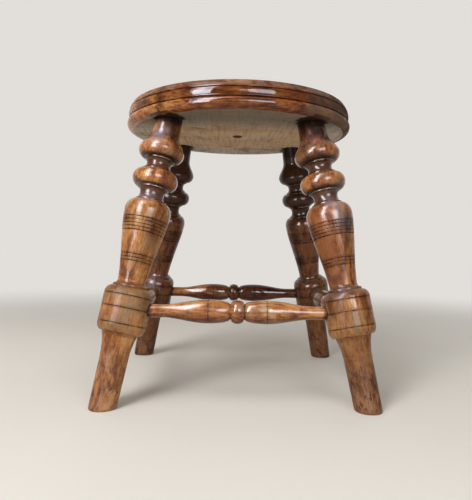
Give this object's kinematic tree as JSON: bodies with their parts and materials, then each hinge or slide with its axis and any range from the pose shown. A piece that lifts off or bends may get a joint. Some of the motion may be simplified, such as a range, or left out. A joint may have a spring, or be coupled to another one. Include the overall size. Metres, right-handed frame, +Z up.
{
  "type": "low stool",
  "caption": "Low round stool of turned wood: moulded disc seat on splayed vase-and-bead legs, joined low down by a square of slim spindle stretchers.",
  "frame": {"origin": "on the floor under the middle of the seat", "axes": "+Z up, -Y to the front, +X to the right as seen from the front"},
  "size_m": [0.3026, 0.3026, 0.341],
  "materials": {
    "seat_wood": "gloss",
    "leg_wood": "gloss",
    "stretcher_wood": "gloss",
    "wedge_wood": "satin"
  },
  "bodies": {
    "root": {"seat": "seat_wood", "leg_front_left": "leg_wood", "leg_front_right": "leg_wood", "leg_rear_left": "leg_wood", "leg_rear_right": "leg_wood", "stretcher_front": "stretcher_wood", "stretcher_rear": "stretcher_wood", "stretcher_left": "stretcher_wood", "stretcher_right": "stretcher_wood", "wedge_front_left": "wedge_wood", "wedge_front_right": "wedge_wood", "wedge_rear_left": "wedge_wood", "wedge_rear_right": "wedge_wood"}
  },
  "joints": []
}
